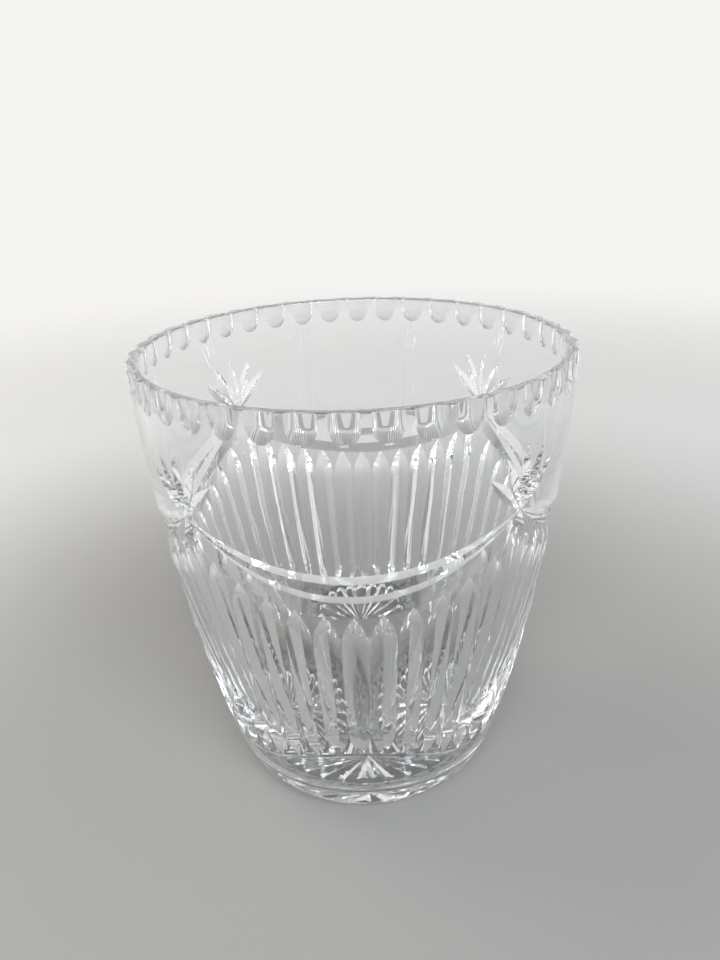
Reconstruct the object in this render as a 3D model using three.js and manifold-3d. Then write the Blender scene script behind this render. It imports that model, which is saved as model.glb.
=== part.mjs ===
// A cut lead-crystal ice bucket, blown and cut from one piece of glass.
// Millimetres, +Z up, the origin in the middle of the flat that it stands on.
// Azimuth 0 faces -Y and grows towards +X; a drop is measured down from the rim.
import * as THREE from "three";
import { mergeVertices } from "three/addons/utils/BufferGeometryUtils.js";
import Module from "manifold-3d";

// Driving sizes of the blank
const height = 162;
const rimRadius = 75;
const rimLean = 2.75;
const heelRadius = 56;
const heelHeight = 33;
const heelTuck = 8.1;
const footRadius = 39;
const rimWall = 4.2;
const heelWall = 9.6;
const baseThickness = 10.5;
const floorCornerHeight = 21.5;
const floorCornerWidth = 8;
const footHollowRadius = 32;
const footHollowDepth = 1;

// Thumb cuts round the rim
const thumbCount = 40;
const thumbDepth = 1.7;
const thumbWidth = 10;
const thumbDrop = 10.8;
const thumbRound = 6.4;

// Stars, and the two swags that hang between them
const starCount = 4;
const starDrop = 40;
const petalAngles = [-46, -24, 0, 24, 46];
const petalLengths = [20.5, 21.5, 22, 21.5, 20.5];
const petalDepth = 1.3;
const petalHalfAngle = 58;
const upperSwagDrop = 52.95;
const upperSwagWidth = 4.1;
const upperSwagDepth = 1.5;
const lowerSwagDrop = 60.15;
const lowerSwagWidth = 3.5;
const lowerSwagDepth = 1.25;
const swagRidgeDepth = 0.35;
const swagFootDepth = 0.1;

// Mitre flutes from below the swags to a wavy line at the heel, which dips under the stars
const fluteCount = 48;
const fluteHalfAngle = 60;
const fluteOverlap = 1.04;
const fluteTopDrop = 66;
const fluteStarClearance = 7;
const fluteTopRunOut = 12;
const fluteEndBelowHeel = 2.5;
const fluteEndWave = 5.2;
const fluteEndRunOut = 10.5;
const fluteRunPast = 0.15;

// Star under the base
const baseRayCount = 24;
const baseRayLength = 29;
const baseRayDepth = 2.2;
const baseRayHalfAngle = 60;

// Fineness of the facets
const lathePoints = 60;
const wallSteps = 4;
const curveSteps = 4;
const runOutSteps = 3;
const fluteSteps = 2;
const swagSteps = 18;
const petalSteps = 4;
const thumbSides = 20;
const thumbRings = 6;

// How far a wheel stands clear of the glass above its cut, how far past both tips of a
// lens-shaped cut it rises out of the glass, as a share of the cut's depth, and how far past
// the stars it carries a swag, as a share of the swag's length
const wheelClearance = 1.4;
const lensRise = 0.04;
const swagOverrun = 0.02;

// Corners nearer than the first are one corner, and angles nearer than the second are equal
const weldDistance = 1e-4;
const angleSlack = 1e-6;

const degrees = THREE.MathUtils.degToRad;
const heelDrop = height - heelHeight;
const leanSlope = Math.tan(degrees(rimLean));
const wallBow = (rimRadius - heelRadius - leanSlope * heelDrop) / heelDrop ** 2;
const quadrant = 360 / starCount;

const wasm = await Module();
wasm.setup();

// Outside radius of the uncut wall at a drop below the rim
function wallRadius(drop) {
  return rimRadius - leanSlope * drop - wallBow * drop ** 2;
}

// Thickness of the uncut wall at a drop below the rim
function wallThickness(drop) {
  return rimWall + (heelWall - rimWall) * (drop / heelDrop) ** 2;
}

// A point on the outside of the uncut wall
function wallPoint(azimuth, drop) {
  const turn = degrees(azimuth);
  const radius = wallRadius(drop);
  return new THREE.Vector3(radius * Math.sin(turn), -radius * Math.cos(turn), height - drop);
}

// The wall's outward direction at that point
function wallNormal(azimuth, drop) {
  const turn = degrees(azimuth);
  const slope = leanSlope + 2 * wallBow * drop;
  return new THREE.Vector3(Math.sin(turn), -Math.cos(turn), -slope).normalize();
}

// A closed geometry as a solid that can be cut and joined
function solidOf(geometry) {
  const bare = new THREE.BufferGeometry();
  bare.setAttribute("position", geometry.toNonIndexed().getAttribute("position"));
  const merged = mergeVertices(bare, weldDistance);
  const corners = merged.index.array;
  const kept = [];
  for (let i = 0; i < corners.length; i += 3) {
    const [a, b, c] = corners.subarray(i, i + 3);
    if (a !== b && b !== c && c !== a) kept.push(a, b, c);
  }
  return new wasm.Manifold(
    new wasm.Mesh({
      numProp: 3,
      vertProperties: merged.getAttribute("position").array,
      triVerts: new Uint32Array(kept),
    }),
  );
}

// A solid as a geometry
function geometryOf(solid) {
  const mesh = solid.getMesh();
  const geometry = new THREE.BufferGeometry();
  geometry.setAttribute("position", new THREE.BufferAttribute(mesh.vertProperties, 3));
  geometry.setIndex(new THREE.BufferAttribute(mesh.triVerts, 1));
  geometry.computeVertexNormals();
  return geometry;
}

// The blank: one closed profile turned about Z, thick at the base and thin at the rim
function makeBlank() {
  const profile = [];
  const add = (radius, z) => profile.push(new THREE.Vector2(radius, z));
  const addCurve = (from, bend, to) => {
    const curve = new THREE.QuadraticBezierCurve(from, bend, to);
    curve.getPoints(curveSteps).forEach((point) => add(point.x, point.y));
  };
  add(0, footHollowDepth);
  add(footHollowRadius - footHollowDepth, footHollowDepth);
  add(footHollowRadius, 0);
  addCurve(
    new THREE.Vector2(footRadius, 0),
    new THREE.Vector2(heelRadius - heelTuck, 0),
    new THREE.Vector2(heelRadius, heelHeight),
  );
  for (let step = wallSteps - 1; step > 0; step -= 1) {
    const drop = (heelDrop * step) / wallSteps;
    add(wallRadius(drop), height - drop);
  }
  add(rimRadius, height);
  add(rimRadius - rimWall, height);
  const cornerDrop = height - baseThickness - floorCornerHeight;
  for (let step = 1; step < wallSteps; step += 1) {
    const drop = (cornerDrop * step) / wallSteps;
    add(wallRadius(drop) - wallThickness(drop), height - drop);
  }
  const cornerRadius = wallRadius(cornerDrop) - wallThickness(cornerDrop);
  addCurve(
    new THREE.Vector2(cornerRadius, height - cornerDrop),
    new THREE.Vector2(cornerRadius, baseThickness),
    new THREE.Vector2(cornerRadius - floorCornerWidth, baseThickness),
  );
  add(0, baseThickness);
  const blank = new THREE.LatheGeometry(profile, lathePoints);
  blank.rotateX(Math.PI / 2);
  return solidOf(blank);
}

// A prism through rings of corners, which all go round in the same order
function makePrism(rings) {
  const sides = rings[0].length;
  const last = sides * (rings.length - 1);
  const triangles = [];
  for (let k = 1; k < sides - 1; k += 1) {
    triangles.push(0, k, k + 1, last, last + k + 1, last + k);
  }
  for (let start = 0; start < last; start += sides) {
    for (let k = 0; k < sides; k += 1) {
      const a = start + k;
      const b = start + ((k + 1) % sides);
      triangles.push(a, b + sides, b, a, a + sides, b + sides);
    }
  }
  const prism = new THREE.BufferGeometry().setFromPoints(rings.flat());
  prism.setIndex(triangles);
  return solidOf(prism);
}

// A mitre wheel's path: a wedge whose edge follows the places, each a point on the glass,
// the direction out of the glass and the depth of the cut there
function makeMitre(places, halfAngle) {
  const spread = Math.tan(degrees(halfAngle));
  const rings = places.map(({ point, normal, depth }, index) => {
    const before = places[Math.max(index - 1, 0)].point;
    const after = places[Math.min(index + 1, places.length - 1)].point;
    const side = after.clone().sub(before).cross(normal).normalize();
    const tall = Math.max(depth, 0) + wheelClearance;
    const edge = point.clone().addScaledVector(normal, -depth);
    const top = edge.clone().addScaledVector(normal, tall);
    const reach = side.multiplyScalar(tall * spread);
    return [edge, top.clone().add(reach), top.sub(reach)];
  });
  return makePrism(rings);
}

// Places along a route on the wall; route and depth are functions of 0 to 1
function wallPlaces(route, depth, steps) {
  const places = [];
  for (let step = 0; step <= steps; step += 1) {
    const t = step / steps;
    const [azimuth, drop] = route(t);
    places.push({
      point: wallPoint(azimuth, drop),
      normal: wallNormal(azimuth, drop),
      depth: depth(t),
    });
  }
  return places;
}

// Depth of a lens-shaped cut at a share of its length, deepest in its middle
function lensDepth(t, deepest) {
  return deepest * (1 - (1 + lensRise) * (2 * t - 1) ** 2);
}

// The curve of a swag: lowest between two stars, rising to them
function swagDrop(azimuth, lowest, ends) {
  const share = (2 * azimuth) / quadrant;
  return lowest - (lowest - ends) * share ** 2;
}

// The two swags of the quadrant whose middle is at the azimuth given: the wall is cut away in
// two slanting steps that rise gently again below, and that run out at the stars
function makeSwags(middle) {
  const rings = [];
  for (let step = 0; step <= swagSteps; step += 1) {
    const share = (1 + swagOverrun) * ((2 * step) / swagSteps - 1);
    const azimuth = (share * quadrant) / 2;
    const full = Math.max(1 - share ** 4, 0);
    const slim = full * (1 - share ** 2 / 2);
    const upper = swagDrop(azimuth, upperSwagDrop, starDrop);
    const lower = swagDrop(azimuth, lowerSwagDrop, starDrop);
    const foot = swagDrop(azimuth, fluteTopDrop, starDrop + fluteStarClearance);
    const upperReach = (upperSwagWidth * full) / 2;
    const lowerReach = (lowerSwagWidth * slim) / 2;
    const section = [
      [upper - upperReach, -wheelClearance],
      [upper - upperReach, 0],
      [upper + upperReach, upperSwagDepth * full],
      [lower - lowerReach, swagRidgeDepth * full],
      [lower + lowerReach, swagRidgeDepth * full + lowerSwagDepth * slim],
      [foot, swagFootDepth * full],
      [foot, -wheelClearance],
    ];
    const ring = section.map(([drop, depth]) => {
      const normal = wallNormal(middle + azimuth, drop);
      return wallPoint(middle + azimuth, drop).addScaledVector(normal, -depth);
    });
    rings.push(ring);
  }
  return makePrism(rings);
}

// One petal of a star: a lens-shaped cut from the star's middle along an angle from upright
function makePetal(starAzimuth, angle, length) {
  const across = (length * Math.sin(degrees(angle))) / degrees(wallRadius(starDrop));
  const up = length * Math.cos(degrees(angle));
  const route = (t) => [starAzimuth + across * t, starDrop - up * t];
  const lens = (t) => lensDepth(t, petalDepth);
  return makeMitre(wallPlaces(route, lens, petalSteps), petalHalfAngle);
}

// Depth at which neighbouring flutes just meet in a sharp ridge
function fluteDepth(drop) {
  const halfPitch = (Math.PI * wallRadius(drop)) / fluteCount;
  return (halfPitch / Math.tan(degrees(fluteHalfAngle))) * fluteOverlap;
}

// One upright flute, pointed at both ends where the wheel leaves the glass
function makeFlute(azimuth) {
  const fromMiddle = azimuth - quadrant * Math.round(azimuth / quadrant);
  const underStar = Math.abs(Math.abs(fromMiddle) - quadrant / 2) < angleSlack;
  const ends = starDrop + (underStar ? 0 : fluteStarClearance);
  const top = swagDrop(fromMiddle, fluteTopDrop, ends);
  const wave = fluteEndWave * Math.cos(degrees(starCount * azimuth));
  const end = heelDrop + fluteEndBelowHeel - wave;
  const fullFrom = top + fluteTopRunOut;
  const fullTo = end - fluteEndRunOut;
  const place = (drop, fromEnd) => ({
    point: wallPoint(azimuth, drop),
    normal: wallNormal(azimuth, drop),
    depth: fluteDepth(drop) * (1 - (1 - fromEnd) ** 2),
  });
  const places = [];
  for (let step = 0; step <= runOutSteps; step += 1) {
    const fromEnd = step / runOutSteps;
    places.push(place(top + fluteTopRunOut * fromEnd, fromEnd));
  }
  for (let step = 1; step < fluteSteps; step += 1) {
    places.push(place(fullFrom + ((fullTo - fullFrom) * step) / fluteSteps, 1));
  }
  for (let step = runOutSteps; step >= 0; step -= 1) {
    const fromEnd = step / runOutSteps;
    places.push(place(end - fluteEndRunOut * fromEnd, fromEnd));
  }
  return makeMitre(extended(places), fluteHalfAngle);
}

// The same places with one more at each end, where the wheel is just out of the glass
function extended(places) {
  const beyond = (end, next) => ({
    point: end.point.clone().lerp(next.point, -fluteRunPast),
    normal: end.normal,
    depth: end.depth - fluteRunPast * (next.depth - end.depth),
  });
  const first = beyond(places[0], places[1]);
  const last = beyond(places[places.length - 1], places[places.length - 2]);
  return [first, ...places, last];
}

// One thumb cut: a round channel that opens at the rim and ends below in a scoop
function makeThumb(azimuth) {
  const halfWidth = thumbWidth / 2;
  const radius = (halfWidth ** 2 + thumbDepth ** 2) / (2 * thumbDepth);
  const stretch = thumbRound / halfWidth;
  const wheel = new THREE.CapsuleGeometry(radius, thumbDrop, thumbRings, thumbSides);
  wheel.rotateX(Math.PI / 2);
  wheel.rotateZ(Math.PI / thumbSides);
  wheel.translate(0, 0, thumbDrop / 2);
  wheel.scale(1, 1, stretch);
  wheel.translate(0, thumbDepth - radius - rimRadius, height - thumbDrop + thumbRound);
  wheel.rotateZ(degrees(azimuth));
  return solidOf(wheel);
}

// One ray of the star under the base, deepest in its middle
function makeBaseRay(azimuth) {
  const turn = degrees(azimuth);
  const outward = new THREE.Vector3(Math.sin(turn), -Math.cos(turn), 0);
  const places = [];
  for (let step = 0; step <= petalSteps; step += 1) {
    const t = step / petalSteps;
    places.push({
      point: outward.clone().multiplyScalar(baseRayLength * t).setZ(footHollowDepth),
      normal: new THREE.Vector3(0, 0, -1),
      depth: lensDepth(t, baseRayDepth),
    });
  }
  return makeMitre(places, baseRayHalfAngle);
}

// A function of the azimuth, run once for each of a number of even places round the bucket
function allRound(count, make, start = 0) {
  const made = [];
  for (let index = 0; index < count; index += 1) {
    made.push(make(start + (360 * index) / count));
  }
  return made;
}

function makeBucket() {
  const cuts = [
    ...allRound(fluteCount, makeFlute),
    ...allRound(thumbCount, makeThumb),
    ...allRound(starCount, makeSwags),
    ...allRound(baseRayCount, makeBaseRay),
  ];
  petalAngles.forEach((angle, index) => {
    const petal = (azimuth) => makePetal(azimuth, angle, petalLengths[index]);
    cuts.push(...allRound(starCount, petal, quadrant / 2));
  });
  let bucket = makeBlank();
  cuts.forEach((cut) => {
    bucket = bucket.subtract(cut);
  });
  return bucket;
}

const crystal = new THREE.MeshStandardMaterial({
  color: 0xeef3f4,
  roughness: 0.03,
  metalness: 0,
  transparent: true,
  opacity: 0.35,
});

const iceBucket = new THREE.Group();
const bucket = new THREE.Mesh(geometryOf(makeBucket()), crystal);
bucket.name = "cut_glass_bucket";
iceBucket.add(bucket);

export default iceBucket;
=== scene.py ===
"""A cut crystal ice bucket on a pale table, seen from a little above.

The glass is one piece, as the real one is: a blown blank, cut round the outside with wheels.
Sizes are in millimetres until the finished glass is brought to metres. An azimuth of 0 faces
-Y and grows towards +X, and a drop is measured down from the rim.
"""
import math

import bmesh
import bpy
import numpy as np
from mathutils import Matrix, Vector


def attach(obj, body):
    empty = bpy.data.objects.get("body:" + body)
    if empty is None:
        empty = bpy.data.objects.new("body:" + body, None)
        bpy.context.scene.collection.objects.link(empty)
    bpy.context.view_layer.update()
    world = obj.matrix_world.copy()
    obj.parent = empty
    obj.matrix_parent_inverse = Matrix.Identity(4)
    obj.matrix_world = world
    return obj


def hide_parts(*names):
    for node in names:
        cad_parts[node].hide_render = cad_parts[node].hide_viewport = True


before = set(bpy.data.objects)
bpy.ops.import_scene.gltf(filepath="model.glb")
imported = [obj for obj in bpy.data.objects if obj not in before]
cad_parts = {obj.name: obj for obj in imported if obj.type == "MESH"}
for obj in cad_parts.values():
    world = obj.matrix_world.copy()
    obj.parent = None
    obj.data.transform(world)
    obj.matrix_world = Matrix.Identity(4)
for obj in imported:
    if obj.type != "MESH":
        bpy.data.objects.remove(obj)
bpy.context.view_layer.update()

MILLIMETRE = 0.001
DEGREE = math.pi / 180

# The blank's outline
HEIGHT = 162.0
RIM_RADIUS = 75.0
HEEL_RADIUS = 56.0
HEEL_HEIGHT = 33.0
HEEL_TUCK = 8.1
FOOT_RADIUS = 39.0
FOOT_HOLLOW_RADIUS = 32.0
FOOT_HOLLOW_DEPTH = 1.0
RIM_WALL = 4.2
HEEL_WALL = 9.6
BASE_THICKNESS = 10.5
FLOOR_CORNER_HEIGHT = 21.5
FLOOR_CORNER_WIDTH = 8.0
LEAN = math.tan(2.75 * DEGREE)
HEEL_DROP = HEIGHT - HEEL_HEIGHT
BOW = (RIM_RADIUS - HEEL_RADIUS - LEAN * HEEL_DROP) / HEEL_DROP**2
OUTER_ARRIS = 0.35
INNER_ARRIS = 1.0

# The ground skin of the foot ring: how deep it lies in the glass, and its thickness
GROUND_SKIN_DEPTH = 0.06
GROUND_SKIN_THICKNESS = 0.03
GROUND_SKIN_STEPS = 5

# The crystal and its finish. A band is in millimetres, and a mark fades in or out across it. A
# grain is a noise's waves to the metre and its detail, and an onset is the noise's value where a
# mark begins and where it is full. The heights of waves and pits are in metres.
CRYSTAL_COLOUR = (0.955, 0.966, 0.97, 1)
CRYSTAL_IOR = 1.55
INNER_WALL_BAND = (2.6, 3.4)
ABOVE_FLOOR_BAND = (7.0, 9.0)
WORN_LEVEL_BAND = (1.2, 2.2)
WORN_RADIUS_BAND = (30.2, 31.2)
SCUFFED_FLOOR_BAND = (0.2, 3.0)
SCUFF_GRAIN = (900.0, 3.0)
SCUFF_ONSET = (0.5, 0.75)
SCUFF_ROUGHNESS = 0.05
SMEAR_GRAIN = (45.0, 4.0)
SMEAR_ONSET = (0.55, 0.8)
SMEAR_ROUGHNESS = 0.008
RUBBED_GRAIN = (26.0, 2.0)
RUBBED_ONSET = (0.52, 0.66)
FINE_WEAR_GRAIN = (1300.0, 2.0)
FINE_WEAR_ONSET = (0.45, 0.7)
RUBBED_ROUGHNESS = 0.09
GROUND_GRAIN = (600.0, 4.0)
GROUND_ROUGHNESS = (0.1, 0.5)
WAVE_GRAIN = (38.0, 1.0)
WAVE_HEIGHT = 0.00012
PIT_GRAIN = (380.0, 2.0)
PIT_HEIGHT = 0.0005

# The ground skin: its tones, its mottling, the places that are worn through and how clear they
# are, its least roughness with what the mottling adds, and its shine
GROUND_TONES = ((0.62, 0.63, 0.64, 1), (0.98, 0.985, 0.99, 1))
MOTTLE_GRAIN = (500.0, 5.0)
MOTTLE_ONSET = (0.3, 0.7)
WORN_THROUGH_GRAIN = (320.0, 3.0)
WORN_THROUGH_ONSET = (0.52, 0.62)
WORN_THROUGH_SHARE = 0.85
SKIN_ROUGHNESS = (0.6, 0.3)
SKIN_SHINE = 0.2

# Steps in the blank's curves
TURN_STEPS = 384
WALL_STEPS = 26
CURVE_STEPS = 18
ARRIS_STEPS = 8

# Bends sharper than this many degrees are edges of the cutting
EDGE_ANGLE = 15

# In millimetres: how far below the thumb cuts' lowest point a face's middle may lie and still
# count as theirs, how near the axis a turned normal has no direction, the least radius that a
# place is divided by, and how near each other points are welded
SCOOP_MARGIN = 0.2
AXIS_RADIUS = 0.01
LEAST_RADIUS = 1e-6
WELD_DISTANCE = 1e-4

# Height in a ball of radius 1 above which its points belong to its upper half
BALL_MIDDLE = 0.01

# Sizes of the cuts, by the names that the cutting tree gives them
CUTS = {
    "Height": HEIGHT,
    "Rim Radius": RIM_RADIUS,
    "Lean": LEAN,
    "Bow": BOW,
    "Turn Steps": TURN_STEPS,
    "Wheel Clearance": 1.4,
    "Lens Rise": 0.04,
    "End Closeness": 0.82,
    "Flutes": 48,
    "Flute Half Angle": 60.0,
    "Flute Overlap": 1.04,
    "Flute Top Drop": 66.0,
    "Flute Tip Drop at Stars": 47.0,
    "Flute Top Run Out": 12.0,
    "Flute End Drop": 131.5,
    "Flute End Wave": 5.2,
    "Flute End Run Out": 10.5,
    "Flute Run Past": 0.02,
    "Flute Steps": 36,
    "Thumb Cuts": 40,
    "Thumb Depth": 1.7,
    "Thumb Width": 10.0,
    "Thumb Drop": 10.8,
    "Thumb Round": 6.4,
    "Thumb Segments": 48,
    "Stars": 4,
    "Star Drop": 40.0,
    "Petal Depth": 1.3,
    "Petal Half Angle": 58.0,
    "Petal Steps": 14,
    "Swag Steps": 72,
    "Upper Swag Drop": 52.95,
    "Upper Swag Width": 4.1,
    "Upper Swag Depth": 1.5,
    "Lower Swag Drop": 60.15,
    "Lower Swag Width": 3.5,
    "Lower Swag Depth": 1.25,
    "Swag Land Depth": 0.35,
    "Swag Foot Depth": 0.1,
    "Swag Overrun": 1.02,
    "Fine Line Depth": 0.15,
    "Fine Line Half Angle": 70.0,
    "Heel Line Depth": 0.32,
    "Heel Line Half Angle": 64.0,
    "Base Rays": 24,
    "Base Ray Length": 30.0,
    "Base Ray Depth": 2.3,
    "Base Ray Run Out": 0.16,
    "Base Ray Half Angle": 60.0,
    "Base Hollow": FOOT_HOLLOW_DEPTH,
}

# The five petals of a star: angle from upright in degrees, and length
PETALS = ((-46, 20.5), (-24, 21.5), (0, 22.0), (24, 21.5), (46, 20.5))

# The stage: the floor's painted shade near the bucket and its pale tone far off, the distances in
# metres at which the painted shade gives way to the pale tone and the floor fades out, the
# surround's tone by height, and the lamps with their places, targets, widths, lengths, powers and
# colours
FLOOR_SIZE = 3.0
# Painted shade: the floor's darker tone near the bucket, and its pale tone far off
FLOOR_PAINTED_SHADE = (0.42, 0.408, 0.392, 1)
FLOOR_FAR = (0.87, 0.855, 0.835, 1)
FLOOR_PAINTED_SHADE_SPREAD = (0.12, 0.45)
FLOOR_FADE = (0.4, 1.0)
FLOOR_ROUGHNESS = 0.6
SURROUND = ((0.0, 0.92), (0.3, 0.9), (0.42, 0.2), (0.65, 0.06), (0.9, 0.4))
SURROUND_TINT = (1, 0.99, 0.972)
LAMPS = (
    ("key", (-0.9, 0.35, 0.9), (0, 0, 0.08), 0.6, 0.9, 4, (1.0, 0.93, 0.84)),
    ("front", (0.4, -2.3, 1.9), (0, 0, 0.08), 3.0, 1.6, 96, (0.88, 0.94, 1.0)),
)

# The camera: azimuth, pitch, yaw and roll in degrees, its distance from the axis and its height
# in metres, and its focal length as a share of the picture's height on a sensor of so many
# millimetres
CAMERA_ANGLES = (2.146, 22.991, 0.2, -2.167)
CAMERA_DISTANCE = 0.2979
CAMERA_HEIGHT = 0.23775
SENSOR_SIZE = 36
FOCAL_SHARE = 900 / 960

# Thick cut glass needs as many bounces as this to stay clear
LIGHT_BOUNCES = 96


class Value:
    """A number or a vector inside a node tree, for writing its sums plainly."""

    def __init__(self, tree, socket):
        self.tree = tree
        self.socket = socket

    def sum(self, operation, *others):
        return math_node(self.tree, "ShaderNodeMath", operation, self, *others)

    def __add__(self, other):
        return self.sum("ADD", other)

    def __sub__(self, other):
        return self.sum("SUBTRACT", other)

    def __rsub__(self, other):
        return math_node(self.tree, "ShaderNodeMath", "SUBTRACT", other, self)

    def __mul__(self, other):
        return self.sum("MULTIPLY", other)

    def __rmul__(self, other):
        return self.sum("MULTIPLY", other)

    def __truediv__(self, other):
        return self.sum("DIVIDE", other)

    def __rtruediv__(self, other):
        return math_node(self.tree, "ShaderNodeMath", "DIVIDE", other, self)


class Arrow(Value):
    """A vector inside a node tree."""

    def sum(self, operation, *others):
        return math_node(self.tree, "ShaderNodeVectorMath", operation, self, *others)

    def scaled(self, number):
        node = self.tree.nodes.new("ShaderNodeVectorMath")
        node.operation = "SCALE"
        feed(self.tree, self, node.inputs[0])
        feed(self.tree, number, node.inputs["Scale"])
        return Arrow(self.tree, node.outputs[0])

    def parts(self):
        node = self.tree.nodes.new("ShaderNodeSeparateXYZ")
        feed(self.tree, self, node.inputs[0])
        return [Value(self.tree, socket) for socket in node.outputs]


def feed(tree, value, socket):
    """Links a value of the tree to a socket, or sets the socket to a plain value."""
    if isinstance(value, Value):
        tree.links.new(value.socket, socket)
    else:
        socket.default_value = value


def math_node(tree, kind, operation, *terms):
    """One math node, as a Value or an Arrow."""
    node = tree.nodes.new(kind)
    node.operation = operation
    for term, socket in zip(terms, node.inputs):
        feed(tree, term, socket)
    result = Value if kind == "ShaderNodeMath" else Arrow
    return result(tree, node.outputs[0])


def arrow(tree, x, y, z):
    """A vector put together from three numbers."""
    node = tree.nodes.new("ShaderNodeCombineXYZ")
    for part, socket in zip((x, y, z), node.inputs):
        feed(tree, part, socket)
    return Arrow(tree, node.outputs[0])


def place(tree, kind, inputs=None, **settings):
    """One node with its settings and its inputs, which are named or numbered."""
    node = tree.nodes.new(kind)
    for name, value in settings.items():
        setattr(node, name, value)
    for name, value in (inputs or {}).items():
        feed(tree, value, node.inputs[name])
    return node


def out(tree, node, name=0):
    """One output of a node, as a Value or an Arrow."""
    socket = node.outputs[name]
    kind = Arrow if socket.type == "VECTOR" else Value
    return kind(tree, socket)


SOCKETS = {
    "geometry": "NodeSocketGeometry",
    "number": "NodeSocketFloat",
    "count": "NodeSocketInt",
    "vector": "NodeSocketVector",
    "material": "NodeSocketMaterial",
}


def new_tree(name, takes, gives):
    """A geometry tree with named sockets, and its input values by name."""
    tree = bpy.data.node_groups.new(name, "GeometryNodeTree")
    for side, names in (("INPUT", takes), ("OUTPUT", gives)):
        for label, kind in names.items():
            tree.interface.new_socket(label, in_out=side, socket_type=SOCKETS[kind])
    source = tree.nodes.new("NodeGroupInput")
    given = {label: out(tree, source, label) for label in takes}
    return tree, given


def finish_tree(tree, results):
    """Links the results to the tree's outputs."""
    sink = tree.nodes.new("NodeGroupOutput")
    for label, value in results.items():
        feed(tree, value, sink.inputs[label])


def use_tree(tree, inner, inputs):
    """Another tree as one node of this one."""
    return place(tree, "GeometryNodeGroup", inputs, node_tree=inner)


def sine(turn):
    return turn.sum("SINE")


def cosine(turn):
    return turn.sum("COSINE")


def make_wall_tree():
    """Where a place on the uncut wall is, which way is out of the glass there, and how the
    place moves for each degree round and for each millimetre down."""
    takes = dict.fromkeys(("Azimuth", "Drop", "Height", "Rim Radius", "Lean", "Bow"), "number")
    gives = dict.fromkeys(("Point", "Outward", "Round", "Down"), "vector")
    tree, given = new_tree("wall_place", takes, gives)
    turn = given["Azimuth"] * DEGREE
    drop = given["Drop"]
    radius = given["Rim Radius"] - given["Lean"] * drop - given["Bow"] * drop * drop
    slope = given["Lean"] + 2 * given["Bow"] * drop
    across, back = sine(turn), cosine(turn) * -1
    outward = arrow(tree, across, back, slope * -1).sum("NORMALIZE")
    finish_tree(
        tree,
        {
            "Point": arrow(tree, radius * across, radius * back, given["Height"] - drop),
            "Outward": outward,
            "Round": arrow(tree, back * -1, across, 0.0).scaled(radius * DEGREE),
            "Down": arrow(tree, slope * across * -1, slope * back * -1, -1.0),
        },
    )
    return tree


def make_mitre_tree():
    """A mitre wheel's path: a wedge whose edge follows a line at a depth in the glass. The
    point, the directions and the depth are fields along a three-sided prism from 0 to 1."""
    takes = {
        "Steps": "count",
        "Point": "vector",
        "Outward": "vector",
        "Heading": "vector",
        "Depth": "number",
        "Half Angle": "number",
        "Wheel Clearance": "number",
    }
    tree, given = new_tree("mitre_wheel", takes, {"Wedge": "geometry"})
    sizes = {"Vertices": 3, "Side Segments": given["Steps"], "Radius": 1.0, "Depth": 1.0}
    prism = place(tree, "GeometryNodeMeshCylinder", sizes)
    _, corner_side, _ = out(tree, place(tree, "GeometryNodeInputPosition")).parts()
    side = corner_side / math.sin(120 * DEGREE)
    tall = given["Depth"].sum("MAXIMUM", 0.0) + given["Wheel Clearance"]
    spread = (given["Half Angle"] * DEGREE).sum("TANGENT")
    outward = given["Outward"]
    sideways = outward.sum("CROSS_PRODUCT", given["Heading"]).sum("NORMALIZE")
    edge = given["Point"] - outward.scaled(given["Depth"])
    lift = outward.scaled(side.sum("ABSOLUTE") * tall)
    corner = edge + lift + sideways.scaled(side * tall * spread)
    moved = place(tree, "GeometryNodeSetPosition", {"Geometry": out(tree, prism), "Position": corner})
    finish_tree(tree, {"Wedge": out(tree, moved)})
    return tree


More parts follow.
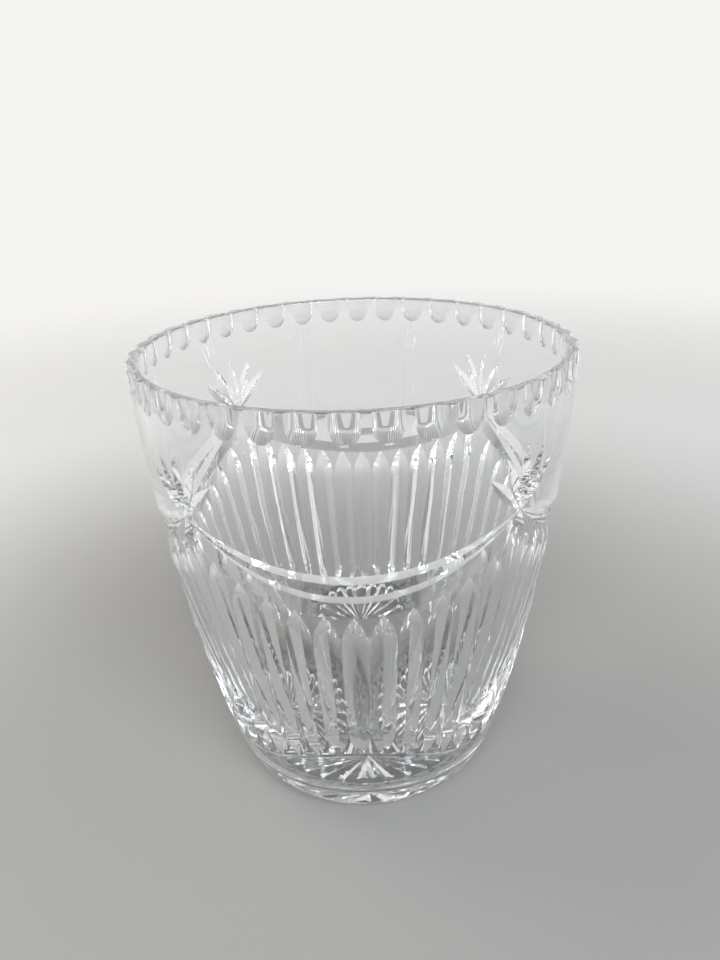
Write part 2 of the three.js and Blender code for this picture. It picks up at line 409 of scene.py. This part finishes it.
class Cutting:
    """The cutting tree: every cut's wheel path, taken out of the blank."""

    def __init__(self):
        self.wall = make_wall_tree()
        self.mitre = make_mitre_tree()
        takes = {"Blank Outline": "geometry", "Glass": "material"}
        for name, size in CUTS.items():
            takes[name] = "count" if isinstance(size, int) else "number"
        self.tree, self.given = new_tree("cut_bucket", takes, {"Bucket": "geometry"})
        self.wheels = []

    def node(self, kind, inputs=None, **settings):
        return place(self.tree, kind, inputs, **settings)

    def out(self, node, name=0):
        return out(self.tree, node, name)

    def along(self):
        """How far along its path a wheel is, from 0 to 1."""
        _, _, share = self.out(self.node("GeometryNodeInputPosition")).parts()
        return share + 0.5

    def along_closely(self):
        """How far along its path a wheel is, with closer steps near both ends."""
        share = self.along()
        return share - sine(share * 2 * math.pi) * self.given["End Closeness"] / (2 * math.pi)

    def wall_at(self, azimuth, drop):
        """A place on the wall: its point, its outward, round and down directions."""
        sizes = {name: self.given[name] for name in ("Height", "Rim Radius", "Lean", "Bow")}
        node = use_tree(self.tree, self.wall, {"Azimuth": azimuth, "Drop": drop, **sizes})
        return [self.out(node, name) for name in ("Point", "Outward", "Round", "Down")]

    def wedge(self, steps, point, outward, heading, depth, half_angle):
        """The path of a mitre wheel."""
        inputs = {
            "Steps": self.given[steps],
            "Point": point,
            "Outward": outward,
            "Heading": heading,
            "Depth": depth,
            "Half Angle": self.given[half_angle],
            "Wheel Clearance": self.given["Wheel Clearance"],
        }
        return self.out(use_tree(self.tree, self.mitre, inputs))

    def all_round(self, wheel, count, start=0.0):
        """Copies of one wheel path at even places round the bucket."""
        line = self.node("GeometryNodeMeshLine", {"Count": count, "Offset": (0.0, 0.0, 0.0)})
        index = self.out(self.node("GeometryNodeInputIndex"))
        turn = (index * 360.0 / count + start) * DEGREE
        spin = self.node(
            "GeometryNodeInstanceOnPoints",
            {
                "Points": self.out(line),
                "Instance": wheel,
                "Rotation": arrow(self.tree, 0.0, 0.0, turn),
            },
        )
        self.wheels.append(self.out(spin))

    def lens(self, share, deepest):
        """Depth of a cut that is deepest in its middle and runs out at both tips."""
        off_middle = share * 2 - 1
        return deepest * (1 - (self.given["Lens Rise"] + 1) * off_middle * off_middle)

    def swag_drop(self, azimuth, lowest, ends):
        """The curve of a swag, lowest between two stars and rising to them."""
        share = azimuth * 2 * self.given["Stars"] / 360.0
        return lowest - (lowest - ends) * share * share

    def cut_swags(self):
        """The two swags between the stars: the wall is cut away in two slanting steps, each
        with an almost level land below it, that all run out at the stars."""
        given = self.given
        azimuth = (self.along() - 0.5) * 360.0 / given["Stars"] * given["Swag Overrun"]
        share = azimuth * 2 * given["Stars"] / 360.0
        square = share * share
        taper = (1 - square * square * square * square).sum("MAXIMUM", 0.0)
        slim = (1 - square * square).sum("MAXIMUM", 0.0)
        star = given["Star Drop"]
        upper = self.swag_drop(azimuth, given["Upper Swag Drop"], star)
        lower = self.swag_drop(azimuth, given["Lower Swag Drop"], star)
        foot = self.swag_drop(azimuth, given["Flute Top Drop"], given["Flute Tip Drop at Stars"])
        upper_half = taper * given["Upper Swag Width"] / 2
        lower_half = slim * given["Lower Swag Width"] / 2
        land = taper * given["Swag Land Depth"] * -1
        section = (
            (upper - upper_half, given["Wheel Clearance"]),
            (foot, given["Wheel Clearance"]),
            (foot, taper * given["Swag Foot Depth"] * -1),
            (lower + lower_half, land - slim * given["Lower Swag Depth"]),
            (lower - lower_half, land),
            (upper + upper_half, taper * given["Upper Swag Depth"] * -1),
            (upper - upper_half, 0.0),
        )
        sizes = {
            "Vertices": len(section),
            "Side Segments": given["Swag Steps"],
            "Radius": 1.0,
            "Depth": 1.0,
        }
        prism = self.node("GeometryNodeMeshCylinder", sizes)
        x, y, _ = self.out(self.node("GeometryNodeInputPosition")).parts()
        turn = y.sum("ARCTAN2", x) / (2 * math.pi)
        corner = (turn.sum("FLOORED_MODULO", 1.0) * len(section)).sum("ROUND")
        drop, rise = 0.0, 0.0
        for number, (corner_drop, corner_rise) in enumerate(section):
            here = corner.sum("COMPARE", float(number), 0.5)
            drop = here * corner_drop + drop
            rise = here * corner_rise + rise
        point, outward, _, _ = self.wall_at(azimuth, drop)
        inputs = {"Geometry": self.out(prism), "Position": point + outward.scaled(rise)}
        self.all_round(self.out(self.node("GeometryNodeSetPosition", inputs)), given["Stars"])

    def cut_line(self, lowest, ends, depth, half_angle):
        """One fine line that hangs from star to star."""
        azimuth = (self.along() - 0.5) * 360.0 / self.given["Stars"]
        point, outward, round_, down = self.wall_at(azimuth, self.swag_drop(azimuth, lowest, ends))
        share = azimuth * 2 * self.given["Stars"] / 360.0
        fall = share * (lowest - ends) * -4 * self.given["Stars"] / 360.0
        heading = round_ + down.scaled(fall)
        wheel = self.wedge("Swag Steps", point, outward, heading, depth, half_angle)
        self.all_round(wheel, self.given["Stars"])

    def heel_drop(self, azimuth):
        """The line that the flutes end on: it dips under the stars and rises between them."""
        given = self.given
        return given["Flute End Drop"] - given["Flute End Wave"] * cosine(azimuth * DEGREE * given["Stars"])

    def cut_heel_line(self):
        """The fine line round the heel, from star to star."""
        given = self.given
        azimuth = (self.along() - 0.5) * 360.0 / given["Stars"]
        point, outward, round_, down = self.wall_at(azimuth, self.heel_drop(azimuth))
        rise = sine(azimuth * DEGREE * given["Stars"]) * given["Flute End Wave"] * given["Stars"] * DEGREE
        depth = given["Heel Line Depth"]
        heading = round_ + down.scaled(rise)
        wheel = self.wedge("Swag Steps", point, outward, heading, depth, "Heel Line Half Angle")
        self.all_round(wheel, given["Stars"])

    def cut_petal(self, angle, length):
        """One petal of every star, a lens-shaped cut from the star's middle."""
        given = self.given
        drop = given["Star Drop"]
        radius = given["Rim Radius"] - given["Lean"] * drop - given["Bow"] * drop * drop
        across = length * math.sin(angle * DEGREE) / DEGREE / radius
        up = length * math.cos(angle * DEGREE)
        share = self.along()
        point, outward, round_, down = self.wall_at(across * share, drop - up * share)
        heading = round_.scaled(across) - down.scaled(up)
        depth = self.lens(share, given["Petal Depth"])
        wheel = self.wedge("Petal Steps", point, outward, heading, depth, "Petal Half Angle")
        self.all_round(wheel, given["Stars"], 180.0 / given["Stars"])

    def cut_flutes(self):
        """The upright flutes, each with its own length, up to the swags' fine line."""
        given = self.given
        loop = self.node("GeometryNodeRepeatInput")
        last = self.node("GeometryNodeRepeatOutput")
        loop.pair_with_output(last)
        feed(self.tree, given["Flutes"], loop.inputs["Iterations"])
        quadrant = 360.0 / given["Stars"]
        azimuth = self.out(loop, "Iteration") * 360.0 / given["Flutes"]
        from_middle = azimuth - quadrant * (azimuth / quadrant).sum("ROUND")
        off_star = (from_middle.sum("ABSOLUTE") - quadrant / 2).sum("ABSOLUTE")
        under_star = off_star.sum("LESS_THAN", 1.0)
        plain_top = self.swag_drop(from_middle, given["Flute Top Drop"], given["Flute Tip Drop at Stars"])
        top = plain_top + under_star * (given["Star Drop"] - given["Flute Tip Drop at Stars"])
        end = self.heel_drop(azimuth)
        share = self.along_closely() * (given["Flute Run Past"] * 2 + 1) - given["Flute Run Past"]
        drop = top + (end - top) * share
        radius = given["Rim Radius"] - given["Lean"] * drop - given["Bow"] * drop * drop
        half_pitch = radius * math.pi / given["Flutes"]
        meeting = half_pitch / (given["Flute Half Angle"] * DEGREE).sum("TANGENT")
        from_top = ((drop - top) / given["Flute Top Run Out"]).sum("MINIMUM", 1.0)
        from_end = ((end - drop) / given["Flute End Run Out"]).sum("MINIMUM", 1.0)
        sunk = (1 - (1 - from_top) * (1 - from_top)) * (1 - (1 - from_end) * (1 - from_end))
        point, outward, _, down = self.wall_at(azimuth, drop)
        depth = meeting * given["Flute Overlap"] * sunk
        wheel = self.wedge("Flute Steps", point, outward, down, depth, "Flute Half Angle")
        one = self.node("GeometryNodeGeometryToInstance", {0: wheel})
        joined = self.node("GeometryNodeJoinGeometry")
        self.tree.links.new(loop.outputs[1], joined.inputs[0])
        self.tree.links.new(one.outputs[0], joined.inputs[0])
        self.tree.links.new(joined.outputs[0], last.inputs[0])
        self.wheels.append(self.out(last))

    def cut_thumbs(self):
        """The thumb cuts round the rim: each a round-edged channel that opens at the rim and
        ends below in a round scoop."""
        given = self.given
        depth, half = given["Thumb Depth"], given["Thumb Width"] / 2
        radius = (half * half + depth * depth) / (depth * 2)
        stretch = given["Thumb Round"] / half
        ball = self.node(
            "GeometryNodeMeshUVSphere",
            {"Segments": given["Thumb Segments"], "Rings": given["Thumb Segments"], "Radius": 1.0},
        )
        x, y, z = self.out(self.node("GeometryNodeInputPosition")).parts()
        upper = z.sum("GREATER_THAN", BALL_MIDDLE)
        raised = z * radius * stretch + upper * given["Thumb Drop"]
        centre = depth - radius - given["Rim Radius"]
        level = given["Height"] - given["Thumb Drop"] + given["Thumb Round"]
        corner = arrow(self.tree, x * radius, y * radius + centre, raised + level)
        wheel = self.node("GeometryNodeSetPosition", {"Geometry": self.out(ball), "Position": corner})
        self.all_round(self.out(wheel), given["Thumb Cuts"])

    def cut_base(self):
        """The star under the base."""
        given = self.given
        share = self.along_closely()
        reach = given["Base Ray Length"] * share
        point = arrow(self.tree, 0.0, reach * -1, given["Base Hollow"])
        down = arrow(self.tree, 0.0, 0.0, -1.0)
        heading = arrow(self.tree, 0.0, -1.0, 0.0)
        short = 1 - ((1 - share) / given["Base Ray Run Out"]).sum("MINIMUM", 1.0)
        depth = given["Base Ray Depth"] * share * (1 - short * short)
        wheel = self.wedge("Flute Steps", point, down, heading, depth, "Base Ray Half Angle")
        self.all_round(wheel, given["Base Rays"])

    def turned_blank(self):
        """The blank: its outline turned about Z and closed on the axis."""
        given = self.given
        outline = given["Blank Outline"]
        size = self.node("GeometryNodeAttributeDomainSize", {0: outline})
        rings = self.out(size, "Point Count") - 1
        lathe = self.node(
            "GeometryNodeMeshCylinder",
            {"Vertices": given["Turn Steps"], "Side Segments": rings, "Radius": 1.0, "Depth": 1.0},
            fill_type="NONE",
        )
        x, y, z = self.out(self.node("GeometryNodeInputPosition")).parts()
        ring = ((z + 0.5) * rings).sum("ROUND")
        position = self.out(self.node("GeometryNodeInputPosition"))
        sample = self.node("GeometryNodeSampleIndex", data_type="FLOAT_VECTOR")
        feed(self.tree, outline, sample.inputs["Geometry"])
        feed(self.tree, position, sample.inputs["Value"])
        feed(self.tree, ring, sample.inputs["Index"])
        radius, _, level = self.out(sample).parts()
        turned = self.node(
            "GeometryNodeSetPosition",
            {"Geometry": self.out(lathe), "Position": arrow(self.tree, x * radius, y * radius, level)},
        )
        inputs = {"Geometry": self.out(turned), "Distance": WELD_DISTANCE}
        closed = self.node("GeometryNodeMergeByDistance", inputs)
        marked = self.node(
            "GeometryNodeStoreNamedAttribute",
            {"Geometry": self.out(closed), "Name": "blown", "Value": True},
            data_type="BOOLEAN",
            domain="FACE",
        )
        return self.out(marked)

    def make(self):
        """Builds the whole tree and returns it."""
        given = self.given
        self.cut_flutes()
        self.cut_thumbs()
        self.cut_swags()
        fine_ends = given["Flute Tip Drop at Stars"]
        self.cut_line(given["Flute Top Drop"], fine_ends, given["Fine Line Depth"], "Fine Line Half Angle")
        self.cut_heel_line()
        for angle, length in PETALS:
            self.cut_petal(angle, length)
        self.cut_base()
        joined = self.node("GeometryNodeJoinGeometry")
        for wheel in self.wheels:
            self.tree.links.new(wheel.socket, joined.inputs[0])
        cut = self.node(
            "GeometryNodeMeshBoolean",
            {"Mesh 1": self.turned_blank(), "Mesh 2": self.out(joined)},
            operation="DIFFERENCE",
            solver="MANIFOLD",
        )
        scale = (MILLIMETRE,) * 3
        metres = self.node("GeometryNodeTransform", {"Geometry": self.out(cut), "Scale": scale})
        plain = self.node("GeometryNodeRealizeInstances", {0: self.out(metres)})
        inputs = {"Geometry": self.out(plain), "Material": given["Glass"]}
        glazed = self.node("GeometryNodeSetMaterial", inputs)
        finish_tree(self.tree, {"Bucket": self.out(glazed)})
        return self.tree


def bend(start, middle, end, steps):
    """Points of a quadratic curve, without its first."""
    points = []
    for step in range(1, steps + 1):
        t = step / steps
        weights = ((1 - t) ** 2, 2 * t * (1 - t), t**2)
        points.append(sum(w * np.array(p) for w, p in zip(weights, (start, middle, end))))
    return points


def wall_radius(drop):
    """Outside radius of the uncut wall."""
    return RIM_RADIUS - LEAN * drop - BOW * drop**2


def inner_radius(drop):
    """Inside radius of the wall, which thickens towards the heel."""
    return wall_radius(drop) - RIM_WALL - (HEEL_WALL - RIM_WALL) * (drop / HEEL_DROP) ** 2


def blank_outline():
    """The blank's outline as (radius, height) points, from the base's middle up the outside,
    over the rim and down the inside to the floor's middle."""
    points = [(0, FOOT_HOLLOW_DEPTH), (FOOT_HOLLOW_RADIUS - FOOT_HOLLOW_DEPTH, FOOT_HOLLOW_DEPTH)]
    points.append((FOOT_HOLLOW_RADIUS, 0))
    foot, heel = (FOOT_RADIUS, 0), (HEEL_RADIUS, HEEL_HEIGHT)
    points.append(foot)
    points += bend(foot, (HEEL_RADIUS - HEEL_TUCK, 0), heel, CURVE_STEPS)
    for drop in np.linspace(HEEL_DROP, OUTER_ARRIS, WALL_STEPS)[1:]:
        points.append((wall_radius(drop), HEIGHT - drop))
    rim = wall_radius(0)
    points += bend(points[-1], (rim, HEIGHT), (rim - OUTER_ARRIS, HEIGHT), ARRIS_STEPS)
    inside = inner_radius(0)
    points.append((inside + INNER_ARRIS, HEIGHT))
    lip = (inner_radius(INNER_ARRIS), HEIGHT - INNER_ARRIS)
    points += bend(points[-1], (inside, HEIGHT), lip, ARRIS_STEPS)
    corner_drop = HEIGHT - BASE_THICKNESS - FLOOR_CORNER_HEIGHT
    for drop in np.linspace(INNER_ARRIS, corner_drop, WALL_STEPS)[1:]:
        points.append((inner_radius(drop), HEIGHT - drop))
    corner = points[-1]
    floor_edge = (corner[0] - FLOOR_CORNER_WIDTH, BASE_THICKNESS)
    points += bend(corner, (corner[0], BASE_THICKNESS), floor_edge, CURVE_STEPS)
    points.append((0, BASE_THICKNESS))
    return np.array([np.array(point, float) for point in points])


def set_input(modifier, tree, name, value):
    """Sets a modifier's input by the identifier of its socket."""
    for item in tree.interface.items_tree:
        if item.item_type == "SOCKET" and item.in_out == "INPUT" and item.name == name:
            modifier[item.identifier] = value


def make_bucket(glass):
    """The cut bucket as one plain mesh."""
    outline = blank_outline()
    mesh = bpy.data.meshes.new("blank_outline")
    edges = [(i, i + 1) for i in range(len(outline) - 1)]
    mesh.from_pydata([(radius, 0, level) for radius, level in outline], edges, [])
    blank = bpy.data.objects.new("blank", mesh)
    bpy.context.scene.collection.objects.link(blank)
    tree = Cutting().make()
    modifier = blank.modifiers.new("cutting", "NODES")
    modifier.node_group = tree
    for name, size in CUTS.items():
        set_input(modifier, tree, name, size)
    set_input(modifier, tree, "Glass", glass)
    evaluated = blank.evaluated_get(bpy.context.evaluated_depsgraph_get())
    cut = bpy.data.meshes.new_from_object(evaluated)
    bpy.data.objects.remove(blank)
    return cut


def outline_normals(outline):
    """For every short stretch of the outline: its ends and the normals there, which run
    smoothly on except at the foot's edge and the rim's flats."""
    steps = np.diff(outline, axis=0)
    lengths = np.linalg.norm(steps, axis=1)
    straight = np.stack([steps[:, 1], -steps[:, 0]], axis=1) / lengths[:, None]
    starts, ends = straight.copy(), straight.copy()
    for i in range(len(straight) - 1):
        if straight[i] @ straight[i + 1] > math.cos(EDGE_ANGLE * DEGREE):
            between = straight[i] * lengths[i + 1] + straight[i + 1] * lengths[i]
            ends[i] = starts[i + 1] = between / np.linalg.norm(between)
    return starts, ends


def thumb_normals(places, middles):
    """Outward directions on the thumb cuts' round surfaces; middles tell which cut it is."""
    half, depth = CUTS["Thumb Width"] / 2, CUTS["Thumb Depth"]
    radius = (half**2 + depth**2) / (2 * depth)
    stretch = CUTS["Thumb Round"] / half
    pitch = 2 * math.pi / CUTS["Thumb Cuts"]
    turn = np.round(np.arctan2(middles[:, 0], -middles[:, 1]) / pitch) * pitch
    across = places[:, 0] * np.cos(turn) + places[:, 1] * np.sin(turn)
    out_of_wall = places[:, 0] * np.sin(turn) - places[:, 1] * np.cos(turn)
    from_centre = out_of_wall - (RIM_RADIUS - depth + radius)
    level = HEIGHT - CUTS["Thumb Drop"] + CUTS["Thumb Round"]
    below = np.minimum(places[:, 2] - level, 0) / stretch**2
    outward = -np.stack(
        [
            across * np.cos(turn) + from_centre * np.sin(turn),
            across * np.sin(turn) - from_centre * np.cos(turn),
            below,
        ],
        axis=1,
    )
    return outward / np.linalg.norm(outward, axis=1)[:, None]


def polish(mesh):
    """Smooth shading on the glass, with the blown surfaces as round as they were blown, the
    thumb cuts as round as their wheel, and sharp edges along the cuts."""
    mesh.shade_smooth()
    mesh.set_sharp_from_angle(angle=EDGE_ANGLE * DEGREE)
    outline = blank_outline()
    starts, ends = outline_normals(outline)
    corners = np.zeros(len(mesh.loops), np.int32)
    mesh.loops.foreach_get("vertex_index", corners)
    places = np.zeros(len(mesh.vertices) * 3)
    mesh.vertices.foreach_get("co", places)
    places = places.reshape(-1, 3)[corners] / MILLIMETRE
    blown = np.zeros(len(mesh.polygons), bool)
    mesh.attributes["blown"].data.foreach_get("value", blown)
    sides = np.zeros(len(mesh.polygons), np.int32)
    mesh.polygons.foreach_get("loop_total", sides)
    middles = np.zeros(len(mesh.polygons) * 3)
    mesh.polygons.foreach_get("center", middles)
    middles = np.repeat(middles.reshape(-1, 3), sides, axis=0) / MILLIMETRE
    flat = np.stack([np.hypot(middles[:, 0], middles[:, 1]), middles[:, 2]], axis=1)
    steps = np.diff(outline, axis=0)
    nearest = np.full(len(flat), np.inf)
    stretch = np.zeros(len(flat), np.int32)
    for i, (start, step) in enumerate(zip(outline, steps)):
        share = np.clip((flat - start) @ step / (step @ step), 0, 1)
        gap = np.linalg.norm(flat - start - share[:, None] * step, axis=1)
        nearer = gap < nearest
        nearest[nearer] = gap[nearer]
        stretch[nearer] = i
    radius = np.hypot(places[:, 0], places[:, 1])
    own = np.stack([radius, places[:, 2]], axis=1) - outline[stretch]
    step = steps[stretch]
    share = np.clip((own * step).sum(1) / (step * step).sum(1), 0, 1)[:, None]
    slant = starts[stretch] * (1 - share) + ends[stretch] * share
    slant /= np.linalg.norm(slant, axis=1)[:, None]
    round_ = np.maximum(radius, LEAST_RADIUS)[:, None]
    turned = np.concatenate([places[:, :2] / round_ * slant[:, :1], slant[:, 1:]], axis=1)
    normals = np.zeros(len(mesh.loops) * 3)
    mesh.corner_normals.foreach_get("vector", normals)
    normals = normals.reshape(-1, 3)
    smooth = np.repeat(blown, sides) & (radius > AXIS_RADIUS)
    normals[smooth] = turned[smooth]
    lowest = HEIGHT - CUTS["Thumb Drop"] - SCOOP_MARGIN
    scooped = ~np.repeat(blown, sides) & (middles[:, 2] > lowest)
    normals[scooped] = thumb_normals(places[scooped], middles[scooped])
    mesh.attributes.remove(mesh.attributes["blown"])
    mesh.normals_split_custom_set(normals.tolist())


def new_material(name):
    """An empty node material and its Principled shader."""
    material = bpy.data.materials.new(name)
    material.use_nodes = True
    tree = material.node_tree
    return material, tree, tree.nodes["Principled BSDF"]


def blend(tree, value, start, end):
    """A smooth step from 0 to 1 as a value goes from start to end."""
    inputs = {"Value": value, "From Min": start, "From Max": end}
    node = place(tree, "ShaderNodeMapRange", inputs, interpolation_type="SMOOTHSTEP")
    return out(tree, node)


def object_spot(tree):
    """The place on the piece, in metres."""
    return Arrow(tree, place(tree, "ShaderNodeTexCoord").outputs["Object"])


def noise(tree, spot, grain):
    """Soft noise from 0 to 1. Its grain is its waves to the metre and its detail."""
    scale, detail = grain
    node = place(tree, "ShaderNodeTexNoise", {"Vector": spot, "Scale": scale, "Detail": detail})
    return out(tree, node, "Fac")


def marks(tree, spot, grain, onset):
    """Where a noise leaves marks: 0 below the onset's first value and 1 above its second."""
    return blend(tree, noise(tree, spot, grain), *onset)


def bump(tree, strength, height, grain, normal=None):
    """Soft relief of a height in metres, on top of a normal."""
    relief = noise(tree, object_spot(tree), grain)
    inputs = {"Strength": strength, "Distance": height, "Height": relief}
    if normal is not None:
        inputs["Normal"] = normal
    return out(tree, place(tree, "ShaderNodeBump", inputs))


def make_crystal():
    """Clear lead crystal: a little wavy inside from the blowing, with faint smears, fine wear
    where ice has rubbed, a scuffed floor, and pits on the ring that it stands on."""
    material, tree, glass = new_material("lead_crystal")
    glass.inputs["Base Color"].default_value = CRYSTAL_COLOUR
    glass.inputs["Transmission Weight"].default_value = 1
    glass.inputs["IOR"].default_value = CRYSTAL_IOR
    spot = object_spot(tree)
    x, y, level = spot.scaled(1 / MILLIMETRE).parts()
    radius = (x * x + y * y).sum("SQRT")
    drop = HEIGHT - level
    in_wall = RIM_RADIUS - LEAN * drop - BOW * drop * drop - radius
    inside = blend(tree, in_wall, *INNER_WALL_BAND) * blend(tree, level, *ABOVE_FLOOR_BAND)
    worn = (1 - blend(tree, level, *WORN_LEVEL_BAND)) * blend(tree, radius, *WORN_RADIUS_BAND)
    off_floor = (level - BASE_THICKNESS).sum("ABSOLUTE")
    on_floor = 1 - blend(tree, off_floor, *SCUFFED_FLOOR_BAND)
    scuffs = marks(tree, spot, SCUFF_GRAIN, SCUFF_ONSET) * on_floor
    smears = marks(tree, spot, SMEAR_GRAIN, SMEAR_ONSET)
    rubbed = marks(tree, spot, RUBBED_GRAIN, RUBBED_ONSET) * inside
    fine_wear = marks(tree, spot, FINE_WEAR_GRAIN, FINE_WEAR_ONSET)
    least, added = GROUND_ROUGHNESS
    ground = worn * (noise(tree, spot, GROUND_GRAIN) * added + least)
    marked = scuffs * SCUFF_ROUGHNESS + smears * SMEAR_ROUGHNESS
    wear = marked + rubbed * fine_wear * RUBBED_ROUGHNESS
    tree.links.new((ground + wear).socket, glass.inputs["Roughness"])
    waves = bump(tree, inside, WAVE_HEIGHT, WAVE_GRAIN)
    pits = bump(tree, worn, PIT_HEIGHT, PIT_GRAIN, waves)
    tree.links.new(pits.socket, glass.inputs["Normal"])
    return material


def make_ground_finish():
    """The ground glass of the foot ring: a pale matt skin, mottled and worn through in places."""
    material, tree, skin = new_material("ground_crystal")
    spot = object_spot(tree)
    mottled = marks(tree, spot, MOTTLE_GRAIN, MOTTLE_ONSET)
    inputs = {0: mottled, 6: GROUND_TONES[0], 7: GROUND_TONES[1]}
    colour = place(tree, "ShaderNodeMix", inputs, data_type="RGBA")
    tree.links.new(colour.outputs[2], skin.inputs["Base Color"])
    worn_through = marks(tree, spot, WORN_THROUGH_GRAIN, WORN_THROUGH_ONSET)
    solid = 1 - worn_through * WORN_THROUGH_SHARE
    tree.links.new(solid.socket, skin.inputs["Alpha"])
    least, added = SKIN_ROUGHNESS
    tree.links.new((mottled * added + least).socket, skin.inputs["Roughness"])
    skin.inputs["Specular IOR Level"].default_value = SKIN_SHINE
    return material


def make_ground_ring(finish):
    """The ground skin just inside the foot ring's surface, from the hollow's edge outwards."""
    inner = FOOT_HOLLOW_RADIUS - FOOT_HOLLOW_DEPTH
    lifted = FOOT_HOLLOW_DEPTH + GROUND_SKIN_DEPTH
    outer = FOOT_RADIUS - GROUND_SKIN_DEPTH * 2
    below = [(inner, lifted), (FOOT_HOLLOW_RADIUS, GROUND_SKIN_DEPTH)]
    for radius in np.linspace(FOOT_HOLLOW_RADIUS, outer, GROUND_SKIN_STEPS)[1:]:
        below.append((radius, GROUND_SKIN_DEPTH))
    above = [(radius, level + GROUND_SKIN_THICKNESS) for radius, level in reversed(below)]
    section = below + above
    turns = [2 * math.pi * step / TURN_STEPS for step in range(TURN_STEPS)]
    points = [
        Vector((radius * math.cos(turn), radius * math.sin(turn), level)) * MILLIMETRE
        for turn in turns
        for radius, level in section
    ]
    count = len(section)
    faces = []
    for step in range(TURN_STEPS):
        here, ahead = step * count, (step + 1) % TURN_STEPS * count
        for i in range(count):
            j = (i + 1) % count
            faces.append((here + i, here + j, ahead + j, ahead + i))
    mesh = bpy.data.meshes.new("ground_foot_ring")
    mesh.from_pydata(points, [], faces)
    mesh.materials.append(finish)
    shape = bmesh.new()
    shape.from_mesh(mesh)
    bmesh.ops.recalc_face_normals(shape, faces=shape.faces)
    shape.to_mesh(mesh)
    shape.free()
    ring = bpy.data.objects.new("ground_foot_ring", mesh)
    bpy.context.scene.collection.objects.link(ring)
    return ring


def make_floor():
    """A pale floor with painted shade round the bucket, which lightens outwards and fades into the pale
    background far out.
    """
    mesh = bpy.data.meshes.new("floor")
    corners = [(x * FLOOR_SIZE, y * FLOOR_SIZE, 0) for x, y in ((-1, -1), (1, -1), (1, 1), (-1, 1))]
    mesh.from_pydata(corners, [], [(0, 1, 2, 3)])
    floor = bpy.data.objects.new("floor", mesh)
    bpy.context.scene.collection.objects.link(floor)
    material, tree, paint = new_material("pale_floor_painted_shade")
    away = place(tree, "ShaderNodeVectorMath", {0: object_spot(tree)}, operation="LENGTH")
    distance = Value(tree, away.outputs["Value"])
    # Painted shade: the floor is darker near the bucket and lightens to the pale tone further out
    inputs = {0: blend(tree, distance, *FLOOR_PAINTED_SHADE_SPREAD), 6: FLOOR_PAINTED_SHADE, 7: FLOOR_FAR}
    colour = place(tree, "ShaderNodeMix", inputs, data_type="RGBA")
    tree.links.new(colour.outputs[2], paint.inputs["Base Color"])
    paint.inputs["Roughness"].default_value = FLOOR_ROUGHNESS
    clear = place(tree, "ShaderNodeBsdfTransparent")
    mixed = place(tree, "ShaderNodeMixShader", {0: blend(tree, distance, *FLOOR_FADE)})
    tree.links.new(paint.outputs[0], mixed.inputs[1])
    tree.links.new(clear.outputs[0], mixed.inputs[2])
    tree.links.new(mixed.outputs[0], tree.nodes["Material Output"].inputs["Surface"])
    mesh.materials.append(material)


def make_camera():
    """The camera at the photograph's viewing angle."""
    azimuth, pitch, yaw, roll = (angle * DEGREE for angle in CAMERA_ANGLES)
    ahead = Vector((math.sin(yaw), math.cos(yaw), 0))
    right = Vector((math.cos(yaw), -math.sin(yaw), 0))
    up = Vector((0, 0, 1))
    forward = ahead * math.cos(pitch) - up * math.sin(pitch)
    above = ahead * math.sin(pitch) + up * math.cos(pitch)
    tilted = right * math.cos(roll) + above * math.sin(roll)
    top = above * math.cos(roll) - right * math.sin(roll)
    turn = Matrix.Rotation(azimuth, 3, "Z")
    axes = Matrix((turn @ tilted, turn @ top, turn @ -forward)).transposed()
    data = bpy.data.cameras.new("camera")
    data.sensor_width = SENSOR_SIZE
    data.lens = SENSOR_SIZE * FOCAL_SHARE
    camera = bpy.data.objects.new("camera", data)
    across, back = CAMERA_DISTANCE * math.sin(azimuth), -CAMERA_DISTANCE * math.cos(azimuth)
    spot = Vector((across, back, CAMERA_HEIGHT))
    camera.matrix_world = Matrix.Translation(spot) @ axes.to_4x4()
    bpy.context.scene.collection.objects.link(camera)
    bpy.context.scene.camera = camera


def make_lamp(name, position, target, width, length, power, colour):
    """One soft rectangular lamp that points at a place."""
    data = bpy.data.lights.new(name, "AREA")
    data.shape = "RECTANGLE"
    data.size, data.size_y = width, length
    data.energy = power
    data.color = colour
    lamp = bpy.data.objects.new(name, data)
    aim = Vector(target) - Vector(position)
    lamp.location = position
    lamp.rotation_euler = aim.to_track_quat("-Z", "Y").to_euler()
    bpy.context.scene.collection.objects.link(lamp)


def make_light():
    """Soft studio light: a surround that is palest at eye level, and two soft lamps."""
    world = bpy.data.worlds.new("studio")
    bpy.context.scene.world = world
    world.use_nodes = True
    tree = world.node_tree
    coords = place(tree, "ShaderNodeTexCoord")
    _, _, up = Arrow(tree, coords.outputs["Generated"]).parts()
    ramp = place(tree, "ShaderNodeValToRGB", {0: up})
    elements = ramp.color_ramp.elements
    elements[0].position, elements[1].position = SURROUND[0][0], SURROUND[-1][0]
    for height, _ in SURROUND[1:-1]:
        elements.new(height)
    for element, (height, tone) in zip(elements, SURROUND):
        element.position = height
        element.color = (*(tone * part for part in SURROUND_TINT), 1)
    tree.links.new(ramp.outputs[0], tree.nodes["Background"].inputs["Color"])
    for lamp in LAMPS:
        make_lamp(*lamp)


bpy.context.scene.view_settings.view_transform = "Standard"
crystal = make_crystal()
glass = make_bucket(crystal)
polish(glass)
bucket = bpy.data.objects.new("cut_bucket", glass)
bpy.context.scene.collection.objects.link(bucket)
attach(bucket, "root")
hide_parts("cut_glass_bucket")
ring = make_ground_ring(make_ground_finish())
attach(ring, "root")
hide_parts("cut_glass_bucket")
make_floor()
make_light()
make_camera()
cycles = bpy.context.scene.cycles
cycles.max_bounces = LIGHT_BOUNCES
cycles.transmission_bounces = LIGHT_BOUNCES
cycles.glossy_bounces = LIGHT_BOUNCES
